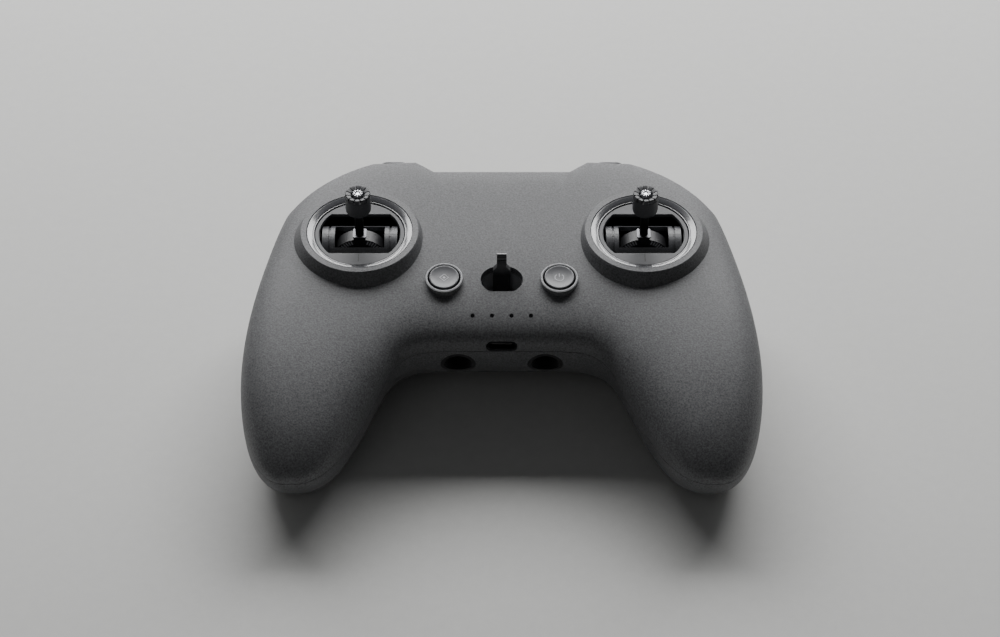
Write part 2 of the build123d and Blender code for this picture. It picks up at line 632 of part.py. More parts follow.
def storage_socket(x, outer):
    """A blind rubber sleeve that a stick is pushed into for carrying."""
    sleeve = cylinder(SOCKET_R, 30, (x, -20, SOCKET_Z), (0, 1, 0)) & outer
    sleeve &= block((-40, -20, 10), (40, EDGE_Y + SOCKET_DEPTH + 1.4, 30))
    return sleeve - cylinder(SOCKET_BORE_R, 20, (x, EDGE_Y + SOCKET_DEPTH - 20, SOCKET_Z), (0, 1, 0))


def main_board():
    board = rounded_block((-BOARD_HALF, -9.0, BOARD_Z), (BOARD_HALF, 50, BOARD_TOP), 1.5)
    for x, y in BOARD_POSTS:
        board -= both_sides(cylinder(1.1, 5, (x, y, BOARD_Z - 1)))
    return board


def board_screws():
    screws = []
    for x, y in BOARD_POSTS:
        head = cylinder(1.8, 0.9, (x, y, BOARD_TOP)) + cylinder(0.75, 7, (x, y, BOARD_TOP - 7))
        screws += both_sides(head).solids()
    return Compound(children=screws)


def battery_cell():
    return chamfer(
        cylinder(CELL_R, CELL_L, (-CELL_L / 2, CELL_Y, CELL_Z), (1, 0, 0)).edges(), 0.6
    )


def battery_cradle():
    cradle = block((-15, CELL_Y - 9.5, WALL + 0.5), (15, CELL_Y + 9.5, 9.0))
    cradle += block((-14, CELL_Y - 6, WALL), (14, CELL_Y + 6, WALL + 0.5))
    return cradle - cylinder(CELL_R + 0.1, 100, (-50, CELL_Y, CELL_Z), (1, 0, 0))


def make_inside(outer):
    save(port_shell(), "port_shell")
    save(port_tongue(), "port_tongue")
    save(storage_socket(-SOCKET_X, outer), "storage_socket_left")
    save(storage_socket(SOCKET_X, outer), "storage_socket_right")
    save(main_board(), "main_board")
    save(board_screws(), "board_screws")
    save(rounded_block((-7, 25, BOARD_TOP), (7, 39, BOARD_TOP + 1.6), 0.5), "processor_shield")
    save(rounded_block((-11, 14, BOARD_TOP), (11, 23, BOARD_TOP + 1.2), 0.5), "radio_shield")
    save(battery_cell(), "battery_cell")
    save(battery_cradle(), "battery_cradle")
    save(tube(5, 1.0, 2.8, (0, 8, BOARD_Z - 2.8)), "buzzer")
    save(block((-20, 48.4, 13), (-5, 49.2, 25)), "antenna_left")
    save(block((5, 48.4, 13), (20, 49.2, 25)), "antenna_right")


if __name__ == "__main__":
    body = make_shells()
    make_fasteners()
    make_gimbals()
    make_face_controls(body)
    make_shoulder_controls()
    make_inside(body)
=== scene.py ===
"""Finishes for a gamepad-shaped radio transmitter: shells, stick gimbals, buttons, controls and a studio.

Laid out as an add-on and run as a script. Pieces are drawn in millimetres and scaled to metres at the end.
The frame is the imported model's own: +X to the user's right, +Y towards the shoulder edge, +Z out of the face.
"""

from math import cos, pi, radians, sin

import bmesh
import bpy
from bpy.props import FloatProperty, FloatVectorProperty, IntProperty, PointerProperty
from mathutils import Matrix, Vector


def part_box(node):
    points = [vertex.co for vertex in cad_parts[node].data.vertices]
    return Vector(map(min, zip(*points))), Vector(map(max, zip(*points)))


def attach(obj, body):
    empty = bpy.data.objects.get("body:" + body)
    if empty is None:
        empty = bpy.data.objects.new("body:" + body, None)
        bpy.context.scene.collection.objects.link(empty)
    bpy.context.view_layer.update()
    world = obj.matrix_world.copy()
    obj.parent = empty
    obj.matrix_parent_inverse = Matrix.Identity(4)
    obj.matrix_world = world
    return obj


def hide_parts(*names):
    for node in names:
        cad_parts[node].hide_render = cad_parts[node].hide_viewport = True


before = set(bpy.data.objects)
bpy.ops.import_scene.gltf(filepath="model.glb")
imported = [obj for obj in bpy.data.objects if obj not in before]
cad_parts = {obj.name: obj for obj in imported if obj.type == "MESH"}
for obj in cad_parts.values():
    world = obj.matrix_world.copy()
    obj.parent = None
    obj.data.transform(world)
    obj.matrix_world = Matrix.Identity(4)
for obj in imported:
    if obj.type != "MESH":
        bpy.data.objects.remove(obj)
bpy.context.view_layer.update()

bl_info = {
    "name": "Radio Transmitter Finishes",
    "version": (1, 0, 0),
    "blender": (4, 5, 0),
    "location": "View3D > Sidebar > Transmitter",
    "description": "Builds the visible pieces, materials and studio of a hand-held radio transmitter",
    "category": "Object",
}

MM = 0.001
SIDES = {"left": -1, "right": 1}


def node_box(node):
    """A CAD node's lowest and highest corners, in millimetres."""
    return [Vector(corner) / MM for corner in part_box(node)]


def node_middle(node):
    low, high = node_box(node)
    return (low + high) / 2


GIMBAL = {side: node_middle(f"gimbal_bezel_{side}") for side in SIDES}
BUTTONS = {"function": node_middle("function_button"), "power": node_middle("power_button")}
RIM_TOP = node_box("gimbal_bezel_left")[1].z + 0.1   # top of the shell's rim round each gimbal
CAP_LOW, CAP_HIGH = (corner.z for corner in node_box("stick_cap_left"))
BUTTON_TOP = node_box("power_button")[1].z
BUTTON_R = 4.8
FACE_SLOPE = 0.085      # rise of the front face towards the shoulders
FACE_AT_ORIGIN = 41.08  # height of the front face above the origin

CAMERA_AIM_MM = (-0.55, 10.6, 20.0)
LENS_MM = 93.3


# ---- colours and materials ----
def linear(colour):
    """An sRGB hex code, or three sRGB values, as linear red, green, blue and alpha."""
    if isinstance(colour, str):
        colour = [int(colour[i : i + 2], 16) / 255 for i in (1, 3, 5)]
    return (*(c / 12.92 if c <= 0.04045 else ((c + 0.055) / 1.055) ** 2.4 for c in colour), 1.0)


def add_node(tree, kind, inputs=None, **settings):
    """Adds one node; an input given as another node's socket is linked, and any other value is set."""
    node = tree.nodes.new(kind)
    for name, value in settings.items():
        setattr(node, name, value)
    for key, value in (inputs or {}).items():
        if isinstance(value, bpy.types.NodeSocket):
            tree.links.new(value, node.inputs[key])
        else:
            node.inputs[key].default_value = value
    return node


def start_material(name, **numbers):
    """Starts a material: its tree, its shader with the uniform numbers, and the piece's own coordinates."""
    data = bpy.data.materials.new(name)
    data.use_nodes = True
    tree = data.node_tree
    tree.nodes.clear()
    numbers = {key.replace("_", " "): number for key, number in numbers.items()}
    shader = add_node(tree, "ShaderNodeBsdfPrincipled", numbers)
    add_node(tree, "ShaderNodeOutputMaterial", {"Surface": shader.outputs["BSDF"]})
    return tree, shader, add_node(tree, "ShaderNodeTexCoord").outputs["Object"]


def feed(tree, shader, colour, roughness, normal):
    """Links a material's finished patterns to its shader."""
    tree.links.new(colour, shader.inputs["Base Color"])
    tree.links.new(roughness, shader.inputs["Roughness"])
    tree.links.new(normal, shader.inputs["Normal"])


def per_metre(size_mm):
    """The scale at which a noise has blobs about this many millimetres across."""
    return 1 / (size_mm * MM)


def spark_eroded_abs(name, dark, light, grain_mm):
    """Moulded ABS from a spark-eroded tool: a pebble that breaks the light up into a fine, soft speckle.

    The real pebble is about 0.1 mm, too fine to show, so it is drawn several times coarser. The hands rub
    its tips down on the grips, where it shines a little more in soft patches.
    """
    tree, shader, place = start_material(name, IOR=1.5)
    pebbles = {"Vector": place, "Scale": per_metre(grain_mm), "Detail": 3.0, "Roughness": 0.65}
    pebble = add_node(tree, "ShaderNodeTexNoise", pebbles).outputs["Fac"]
    cloud = add_node(tree, "ShaderNodeTexNoise", {"Vector": place, "Scale": per_metre(24)}).outputs["Fac"]
    spread = {"Value": pebble, "From Min": 0.3, "From Max": 0.7}
    tone = add_node(tree, "ShaderNodeMapRange", spread).outputs[0]
    tones = {0: tone, 6: linear(dark), 7: linear(light)}
    colour = add_node(tree, "ShaderNodeMix", tones, data_type="RGBA").outputs[2]
    along = add_node(tree, "ShaderNodeSeparateXYZ", {"Vector": place}).outputs["Y"]
    grip = {"Value": along, "From Min": -0.05, "From Max": -0.01, "To Min": 0.12, "To Max": 0.0}
    rubbed = add_node(tree, "ShaderNodeMapRange", grip).outputs[0]
    worn = add_node(tree, "ShaderNodeMath", {0: rubbed, 1: cloud}, operation="MULTIPLY").outputs[0]
    rough = add_node(tree, "ShaderNodeMapRange", {"Value": pebble, "To Min": 0.46, "To Max": 0.66}).outputs[0]
    rough = add_node(tree, "ShaderNodeMath", {0: rough, 1: worn}, operation="SUBTRACT").outputs[0]
    relief = {"Height": pebble, "Distance": 0.09 * MM, "Strength": 0.7}
    feed(tree, shader, colour, rough, add_node(tree, "ShaderNodeBump", relief).outputs["Normal"])


def fine_abs(name, dark, light, rough):
    """Moulded ABS from a tool with a finer texture than the shell's: smoother, with a faint satin glow."""
    tree, shader, place = start_material(name, IOR=1.5)
    grain = {"Vector": place, "Scale": per_metre(0.3), "Detail": 3.0, "Roughness": 0.6}
    pebble = add_node(tree, "ShaderNodeTexNoise", grain).outputs["Fac"]
    tones = {0: pebble, 6: linear(dark), 7: linear(light)}
    colour = add_node(tree, "ShaderNodeMix", tones, data_type="RGBA").outputs[2]
    satin = {"Value": pebble, "To Min": rough - 0.08, "To Max": rough + 0.1}
    rough = add_node(tree, "ShaderNodeMapRange", satin).outputs[0]
    relief = {"Height": pebble, "Distance": 0.03 * MM, "Strength": 0.45}
    feed(tree, shader, colour, rough, add_node(tree, "ShaderNodeBump", relief).outputs["Normal"])


def glass_filled_nylon(name, dark, light, rough):
    """Glass-filled nylon straight from the tool: dull, with short pale fibre flecks in its skin."""
    tree, shader, place = start_material(name, IOR=1.53)
    fibres = {"Vector": place, "Scale": per_metre(0.4), "Detail": 4.0, "Roughness": 0.7}
    fleck = add_node(tree, "ShaderNodeTexNoise", fibres).outputs["Fac"]
    spread = {"Value": fleck, "From Min": 0.45, "From Max": 0.75}
    tone = add_node(tree, "ShaderNodeMapRange", spread).outputs[0]
    tones = {0: tone, 6: linear(dark), 7: linear(light)}
    colour = add_node(tree, "ShaderNodeMix", tones, data_type="RGBA").outputs[2]
    dull = {"Value": fleck, "To Min": rough - 0.08, "To Max": rough + 0.12}
    rough = add_node(tree, "ShaderNodeMapRange", dull).outputs[0]
    relief = {"Height": fleck, "Distance": 0.02 * MM, "Strength": 0.4}
    feed(tree, shader, colour, rough, add_node(tree, "ShaderNodeBump", relief).outputs["Normal"])


def satin_lacquer(name, dark, light):
    """Satin lacquer sprayed on a turned ring: a dark, smooth cone that picks up one long bright highlight."""
    tree, shader, place = start_material(name, IOR=1.6, Coat_Weight=1.0, Coat_Roughness=0.12)
    spray = {"Vector": place, "Scale": per_metre(0.3), "Detail": 3.0}
    speck = add_node(tree, "ShaderNodeTexNoise", spray).outputs["Fac"]
    tones = {0: speck, 6: linear(dark), 7: linear(light)}
    colour = add_node(tree, "ShaderNodeMix", tones, data_type="RGBA").outputs[2]
    rough = add_node(tree, "ShaderNodeMapRange", {"Value": speck, "To Min": 0.18, "To Max": 0.34}).outputs[0]
    relief = {"Height": speck, "Distance": 0.006 * MM, "Strength": 0.3}
    feed(tree, shader, colour, rough, add_node(tree, "ShaderNodeBump", relief).outputs["Normal"])


def blasted_aluminium(name, dark, light):
    """Turned and bead-blasted aluminium: a soft silver, speckled at the size of the beads."""
    tree, shader, place = start_material(name, Metallic=1.0)
    beads = {"Vector": place, "Scale": per_metre(0.18)}
    bead = add_node(tree, "ShaderNodeTexNoise", beads).outputs["Fac"]
    tones = {0: bead, 6: linear(dark), 7: linear(light)}
    colour = add_node(tree, "ShaderNodeMix", tones, data_type="RGBA").outputs[2]
    rough = add_node(tree, "ShaderNodeMapRange", {"Value": bead, "To Min": 0.15, "To Max": 0.4}).outputs[0]
    relief = {"Height": bead, "Distance": 0.01 * MM, "Strength": 0.35}
    feed(tree, shader, colour, rough, add_node(tree, "ShaderNodeBump", relief).outputs["Normal"])


def polished_polycarbonate(name, dark, light):
    """Polished polycarbonate: a deep, wet-looking gloss with faint wipe marks."""
    tree, shader, place = start_material(name, IOR=1.58, Coat_Weight=0.3, Coat_Roughness=0.05)
    along = add_node(tree, "ShaderNodeMapping", {"Vector": place, "Scale": (1, 0.15, 1)}).outputs[0]
    wipes = {"Vector": along, "Scale": per_metre(0.6), "Detail": 3.0}
    wipe = add_node(tree, "ShaderNodeTexNoise", wipes).outputs["Fac"]
    tones = {0: wipe, 6: linear(dark), 7: linear(light)}
    colour = add_node(tree, "ShaderNodeMix", tones, data_type="RGBA").outputs[2]
    rough = add_node(tree, "ShaderNodeMapRange", {"Value": wipe, "To Min": 0.08, "To Max": 0.24}).outputs[0]
    relief = {"Height": wipe, "Distance": 0.004 * MM, "Strength": 0.2}
    feed(tree, shader, colour, rough, add_node(tree, "ShaderNodeBump", relief).outputs["Normal"])


def silicone_rubber(name, dark, light):
    """Moulded silicone rubber: dead matt charcoal, with a dust-pale bloom on its skin."""
    tree, shader, place = start_material(name, IOR=1.45, Sheen_Weight=0.2)
    blooms = {"Vector": place, "Scale": per_metre(1.6), "Detail": 4.0, "Roughness": 0.65}
    bloom = add_node(tree, "ShaderNodeTexNoise", blooms).outputs["Fac"]
    skin = add_node(tree, "ShaderNodeTexNoise", {"Vector": place, "Scale": per_metre(0.2)}).outputs["Fac"]
    tones = {0: bloom, 6: linear(dark), 7: linear(light)}
    colour = add_node(tree, "ShaderNodeMix", tones, data_type="RGBA").outputs[2]
    rough = add_node(tree, "ShaderNodeMapRange", {"Value": bloom, "To Min": 0.65, "To Max": 0.95}).outputs[0]
    relief = {"Height": skin, "Distance": 0.015 * MM, "Strength": 0.5}
    feed(tree, shader, colour, rough, add_node(tree, "ShaderNodeBump", relief).outputs["Normal"])


def rolled_steel(name, dark, light, rough):
    """Cold-rolled strip or drawn wire: straight rolling lines give a satin streak along X."""
    tree, shader, place = start_material(name, Metallic=1.0)
    along = add_node(tree, "ShaderNodeMapping", {"Vector": place, "Scale": (0.08, 1, 1)}).outputs[0]
    lines = {"Vector": along, "Scale": per_metre(0.12), "Detail": 3.0}
    rolled = add_node(tree, "ShaderNodeTexNoise", lines).outputs["Fac"]
    tones = {0: rolled, 6: linear(dark), 7: linear(light)}
    colour = add_node(tree, "ShaderNodeMix", tones, data_type="RGBA").outputs[2]
    streak = {"Value": rolled, "To Min": rough - 0.08, "To Max": rough + 0.12}
    rough = add_node(tree, "ShaderNodeMapRange", streak).outputs[0]
    relief = {"Height": rolled, "Distance": 0.004 * MM, "Strength": 0.3}
    feed(tree, shader, colour, rough, add_node(tree, "ShaderNodeBump", relief).outputs["Normal"])


def solder_mask(name, dark, light):
    """Glass-epoxy board under a solder mask: the copper tracks stand out as slightly paler lines."""
    tree, shader, place = start_material(name, IOR=1.5)
    rows = {"Vector": place, "Scale": 90.0, "Mortar Size": 0.03, "Brick Width": 0.9, "Row Height": 0.28}
    track = add_node(tree, "ShaderNodeTexBrick", rows).outputs["Fac"]
    tones = {0: track, 6: linear(dark), 7: linear(light)}
    colour = add_node(tree, "ShaderNodeMix", tones, data_type="RGBA").outputs[2]
    flow = add_node(tree, "ShaderNodeTexNoise", {"Vector": place, "Scale": per_metre(0.5)}).outputs["Fac"]
    rough = add_node(tree, "ShaderNodeMapRange", {"Value": flow, "To Min": 0.25, "To Max": 0.45}).outputs[0]
    relief = {"Height": track, "Distance": 0.03 * MM, "Strength": 0.4}
    feed(tree, shader, colour, rough, add_node(tree, "ShaderNodeBump", relief).outputs["Normal"])


def shrink_sleeve(name, dark, light):
    """Heat-shrunk PVC sleeve: a glossy film with fine shrink wrinkles round the cell."""
    tree, shader, place = start_material(name, IOR=1.53)
    along = add_node(tree, "ShaderNodeMapping", {"Vector": place, "Scale": (0.25, 1, 1)}).outputs[0]
    wrinkles = {"Vector": along, "Scale": per_metre(1.2), "Detail": 3.0}
    wrinkle = add_node(tree, "ShaderNodeTexNoise", wrinkles).outputs["Fac"]
    tones = {0: wrinkle, 6: linear(dark), 7: linear(light)}
    colour = add_node(tree, "ShaderNodeMix", tones, data_type="RGBA").outputs[2]
    rough = add_node(tree, "ShaderNodeMapRange", {"Value": wrinkle, "To Min": 0.18, "To Max": 0.4}).outputs[0]
    relief = {"Height": wrinkle, "Distance": 0.04 * MM, "Strength": 0.4}
    feed(tree, shader, colour, rough, add_node(tree, "ShaderNodeBump", relief).outputs["Normal"])


def smoked_acrylic(name, dark, light):
    """Smoked acrylic: nearly black until its lamp is lit, with one sharp glint on its polished tip."""
    tree, shader, place = start_material(name, IOR=1.49)
    hazes = {"Vector": place, "Scale": per_metre(0.4), "Detail": 3.0}
    haze = add_node(tree, "ShaderNodeTexNoise", hazes).outputs["Fac"]
    tones = {0: haze, 6: linear(dark), 7: linear(light)}
    colour = add_node(tree, "ShaderNodeMix", tones, data_type="RGBA").outputs[2]
    rough = add_node(tree, "ShaderNodeMapRange", {"Value": haze, "To Min": 0.04, "To Max": 0.16}).outputs[0]
    relief = {"Height": haze, "Distance": 0.004 * MM, "Strength": 0.2}
    feed(tree, shader, colour, rough, add_node(tree, "ShaderNodeBump", relief).outputs["Normal"])


def printed_ink(name, dark, light):
    """Pad-printed ink: a pale, opaque film of slightly uneven thickness."""
    tree, shader, place = start_material(name, IOR=1.48)
    films = {"Vector": place, "Scale": per_metre(0.25), "Detail": 3.0}
    film = add_node(tree, "ShaderNodeTexNoise", films).outputs["Fac"]
    tones = {0: film, 6: linear(dark), 7: linear(light)}
    colour = add_node(tree, "ShaderNodeMix", tones, data_type="RGBA").outputs[2]
    rough = add_node(tree, "ShaderNodeMapRange", {"Value": film, "To Min": 0.4, "To Max": 0.65}).outputs[0]
    relief = {"Height": film, "Distance": 0.01 * MM, "Strength": 0.3}
    feed(tree, shader, colour, rough, add_node(tree, "ShaderNodeBump", relief).outputs["Normal"])


def studio_paper(name, dark, light):
    """Seamless paper: pale and matt, with a faint fibre mottle."""
    tree, shader, place = start_material(name, IOR=1.4)
    fibres = {"Vector": place, "Scale": per_metre(4), "Detail": 4.0, "Roughness": 0.6}
    fibre = add_node(tree, "ShaderNodeTexNoise", fibres).outputs["Fac"]
    tones = {0: fibre, 6: linear(dark), 7: linear(light)}
    colour = add_node(tree, "ShaderNodeMix", tones, data_type="RGBA").outputs[2]
    rough = add_node(tree, "ShaderNodeMapRange", {"Value": fibre, "To Min": 0.7, "To Max": 0.95}).outputs[0]
    relief = {"Height": fibre, "Distance": 0.05 * MM, "Strength": 0.2}
    feed(tree, shader, colour, rough, add_node(tree, "ShaderNodeBump", relief).outputs["Normal"])


# Each finish: its recipe, its darker and lighter sRGB tones, and what else that recipe takes.
FINISHES = {
    "button_abs": (fine_abs, "#58595c", "#6f7073", 0.34),
    # The buttons' rims are a paler grey than the shell: a painted highlight on their lips.
    "painted_highlight_abs": (fine_abs, "#8a8b8e", "#a4a5a8", 0.3),
    "cover_abs": (fine_abs, "#3c3d40", "#505154", 0.5),
    "black_nylon": (glass_filled_nylon, "#121213", "#29292b", 0.46),
    "drum_nylon": (glass_filled_nylon, "#3c3d40", "#626367", 0.4),
    "shield_nylon": (glass_filled_nylon, "#222225", "#38393c", 0.44),
    "cap_nylon": (glass_filled_nylon, "#38393c", "#4e4f53", 0.42),
    "satin_lacquer": (satin_lacquer, "#4a4b4e", "#56575b"),
    "blasted_aluminium": (blasted_aluminium, "#b4b4b8", "#dcdce0"),
    "black_polycarbonate": (polished_polycarbonate, "#1c1c1e", "#2c2c2f"),
    "grey_polycarbonate": (polished_polycarbonate, "#8c8d90", "#a2a3a6"),
    "silicone_rubber": (silicone_rubber, "#161617", "#2a2a2c"),
    "stamped_steel": (rolled_steel, "#9a9a9d", "#cacacd", 0.24),
    "dull_steel": (rolled_steel, "#5c5c5f", "#77777a", 0.42),
    "black_oxide_steel": (rolled_steel, "#1e1e20", "#38383b", 0.36),
    "solder_mask": (solder_mask, "#0f3b24", "#2c6b45"),
    "shrink_sleeve": (shrink_sleeve, "#1f3f77", "#2f579b"),
    "smoked_acrylic": (smoked_acrylic, "#0c0c0d", "#1c1c1e"),
    "printed_ink": (printed_ink, "#a9aaad", "#cfd0d3"),
    "studio_paper": (studio_paper, "#d2d2d0", "#dcdcda"),
}


def finish_named(name):
    """The named material, mixed the first time that it is asked for."""
    if name not in bpy.data.materials:
        recipe, *details = FINISHES[name]
        recipe(name, *details)
    return bpy.data.materials[name]


# ---- making pieces ----
def as_piece(work, name, body, finish, replaces=(), sharp=35.0):
    """Turns a bmesh in metres into a piece that rides on a body and stands for some CAD nodes."""
    for face in work.faces:
        face.smooth = True
    for edge in work.edges:
        if len(edge.link_faces) == 2 and edge.calc_face_angle(0.0) > radians(sharp):
            edge.smooth = False
    mesh = bpy.data.meshes.new(name)
    work.to_mesh(mesh)
    work.free()
    mesh.materials.append(finish_named(finish))
    piece = bpy.data.objects.new(name, mesh)
    bpy.context.scene.collection.objects.link(piece)
    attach(piece, body)
    if replaces:
        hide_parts(*replaces)
    return piece


def drawn_piece(work, at, name, body, finish, replaces=(), sharp=35.0):
    """Closes a bmesh that was drawn in millimetres, moves it to its place and turns it into a piece."""
    bmesh.ops.remove_doubles(work, verts=work.verts, dist=1e-4)
    bmesh.ops.recalc_face_normals(work, faces=work.faces)
    bmesh.ops.translate(work, vec=at, verts=work.verts)
    bmesh.ops.scale(work, vec=(MM, MM, MM), verts=work.verts)
    return as_piece(work, name, body, finish, replaces, sharp)


def spin_ring(work, outline, steps=96):
    """Spins a closed (radius, height) outline right round the vertical axis."""
    verts = [work.verts.new((r, 0, z)) for r, z in outline]
    edges = [work.edges.new(pair) for pair in zip(verts, verts[1:] + verts[:1])]
    bmesh.ops.spin(
        work, geom=verts + edges, cent=(0, 0, 0), axis=(0, 0, 1), angle=2 * pi, steps=steps, use_merge=True
    )


def spin_cap(work, outline, steps=72):
    """Spins an open outline that starts and ends on the axis; its pole points are merged."""
    verts = [work.verts.new((r, 0, z)) for r, z in outline]
    edges = [work.edges.new(pair) for pair in zip(verts, verts[1:])]
    bmesh.ops.spin(
        work, geom=verts + edges, cent=(0, 0, 0), axis=(0, 0, 1), angle=2 * pi, steps=steps, use_merge=True
    )
    bmesh.ops.remove_doubles(work, verts=work.verts, dist=1e-4)


def spin_sector(work, outline, start, angle, steps):
    """Spins a closed outline through part of a turn, with a face at both ends."""
    turn = Matrix.Rotation(start, 4, "Z")
    verts = [work.verts.new(turn @ Vector((r, 0, z))) for r, z in outline]
    edges = [work.edges.new(pair) for pair in zip(verts, verts[1:] + verts[:1])]
    swept = bmesh.ops.spin(work, geom=verts + edges, cent=(0, 0, 0), axis=(0, 0, 1), angle=angle, steps=steps)
    last = [item for item in swept["geom_last"] if isinstance(item, bmesh.types.BMEdge)]
    bmesh.ops.contextual_create(work, geom=edges)
    bmesh.ops.contextual_create(work, geom=last)


def slab(work, low, high):
    """Adds a box between two corners."""
    made = bmesh.ops.create_cube(work, size=1.0)["verts"]
    low, high = Vector(low), Vector(high)
    bmesh.ops.scale(work, vec=high - low, verts=made)
    bmesh.ops.translate(work, vec=(high + low) / 2, verts=made)


def paint(finish, *nodes):
    """Gives carried-over CAD nodes one of the finishes."""
    for node in nodes:
        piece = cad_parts[node]
        if not piece.material_slots:
            piece.data.materials.append(None)
        for material_slot in piece.material_slots:
            material_slot.material = finish_named(finish)


# ---- housing ----
def face_height(y):
    """The height of the front face at a place along Y, in millimetres."""
    return FACE_AT_ORIGIN + FACE_SLOPE * y


def build_shell(node, name):
    """A welded copy of a shell, so that its shading runs smoothly across the lines between its faces."""
    work = bmesh.new()
    work.from_mesh(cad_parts[node].data)
    bmesh.ops.remove_doubles(work, verts=work.verts, dist=2e-6)
    bmesh.ops.dissolve_degenerate(work, dist=1e-7, edges=work.edges)
    as_piece(work, name, "housing", "spark_eroded_abs", (node,), 30)


def build_housing(finish):
    spark_eroded_abs("spark_eroded_abs", finish.shell_dark, finish.shell_light, finish.grain / MM)
    build_shell("front_shell", "housing_front")
    build_shell("rear_shell", "housing_rear")
    paint("black_oxide_steel", "rear_screws", "board_screws")


# ---- gimbals ----
def build_bezel(side):
    """The lacquered cone round the gimbal's well, with an inner lip and a notch on the user's side."""
    top = RIM_TOP
    half_notch = 2.05 / 16
    work = bmesh.new()
    cone = [(17.2, top - 1.1), (17.2, top - 0.4), (17.12, top - 0.22), (16.95, top - 0.15)]
    cone += [(16.7, top - 0.18), (15.35, top - 0.85), (15.25, top - 1.1)]
    spin_sector(work, cone, -pi / 2 + half_notch, 2 * pi - 2 * half_notch, 120)
    base = [(14.75, top - 2.5), (17.2, top - 2.5), (17.2, top - 1.1), (15.25, top - 1.1)]
    base += [(15.1, top - 1.0), (14.9, top - 1.02), (14.78, top - 1.2)]
    spin_ring(work, base, 128)
    at = (GIMBAL[side].x, GIMBAL[side].y, 0)
    nodes = (f"gimbal_bezel_{side}",)
    drawn_piece(work, at, f"bezel_{side}", "housing", "satin_lacquer", nodes, 28)


def build_tick(side):
    """The centre tick on the cover plate, on the user's side of the window."""
    top = node_box(f"gimbal_cover_{side}")[1].z
    work = bmesh.new()
    slab(work, (-0.14, -12.9, top - 0.1), (0.14, -9.6, top + 0.05))
    at = (GIMBAL[side].x, GIMBAL[side].y, 0)
    drawn_piece(work, at, f"centre_tick_{side}", "housing", "black_nylon")


def build_scale(side):
    """The trim scale: short teeth that stand round both edges of the curved shield on the stick's root."""
    pivot = node_middle(f"drum_magnet_{side}").z
    tooth = bmesh.new()
    for near in (-2.42, 2.3):
        slab(tooth, (-0.2, near, 7.0), (0.2, near + 0.12, 8.5))
    shape = bpy.data.meshes.new("tooth")
    tooth.to_mesh(shape)
    tooth.free()
    work = bmesh.new()
    for k in range(-8, 9):
        if abs(k) < 3:
            continue
        start = len(work.verts)
        work.from_mesh(shape)
        work.verts.ensure_lookup_table()
        turn = Matrix.Rotation(radians(6.4 * k), 3, "Y")
        bmesh.ops.rotate(work, verts=work.verts[start:], cent=(0, 0, 0), matrix=turn)
    bpy.data.meshes.remove(shape)
    at = (GIMBAL[side].x, GIMBAL[side].y, pivot)
    drawn_piece(work, at, f"trim_scale_{side}", f"stick_{side}", "printed_ink")


def build_hub_marks(side):
    """The drum's parting line along its crown, and the small ejector dots on its hubs."""
    pivot = node_middle(f"drum_magnet_{side}").z
    crown = node_box(f"gimbal_drum_{side}")[1].z - pivot
    work = bmesh.new()
    for end in (-1, 1):
        low, high = sorted((end * 8.2, end * 12.1))
        slab(work, (low, -0.1, crown - 0.1), (high, 0.1, crown + 0.03))
        for turn in (-34, -14, 22):
            dot = bmesh.ops.create_circle(work, cap_ends=True, radius=0.28, segments=12)["verts"]
            bmesh.ops.translate(work, vec=(end * 11.3, 0, crown + 0.02), verts=dot)
            bmesh.ops.rotate(work, verts=dot, cent=(0, 0, 0), matrix=Matrix.Rotation(radians(turn), 3, "X"))
            face = next(iter(dot[0].link_faces))
            top = bmesh.ops.extrude_discrete_faces(work, faces=[face])["faces"][0]
            bmesh.ops.translate(work, vec=-0.12 * top.normal, verts=top.verts)
    at = (GIMBAL[side].x, GIMBAL[side].y, pivot)
    drawn_piece(work, at, f"hub_marks_{side}", f"pitch_{side}", "black_nylon")


def build_cap(side, teeth):
    """The thumb cap: a satin sleeve with a chamfered foot, under a crown of deep radial teeth."""
    low, high = CAP_LOW, CAP_HIGH
    ledge = high - 1.45
    work = bmesh.new()
    sleeve = [(1.5, low), (3.35, low), (3.8, low + 0.3), (4.02, low + 0.8), (4.1, low + 1.5)]
    sleeve += [(4.1, ledge - 0.15), (3.98, ledge), (1.5, ledge)]
    spin_ring(work, sleeve, 72)
    tooth = [(2.05, ledge - 0.02), (3.98, ledge - 0.02), (4.08, ledge + 0.7), (4.02, high - 0.25)]
    tooth += [(3.75, high), (3.4, high), (2.1, high - 0.6)]
    pitch = 2 * pi / teeth
    for k in range(teeth):
        spin_sector(work, tooth, k * pitch - 0.39 * pitch, 0.78 * pitch, 3)
    at = (GIMBAL[side].x, GIMBAL[side].y, 0)
    nodes = (f"stick_cap_{side}",)
    drawn_piece(work, at, f"thumb_cap_{side}", f"cap_{side}", "cap_nylon", nodes, 30)


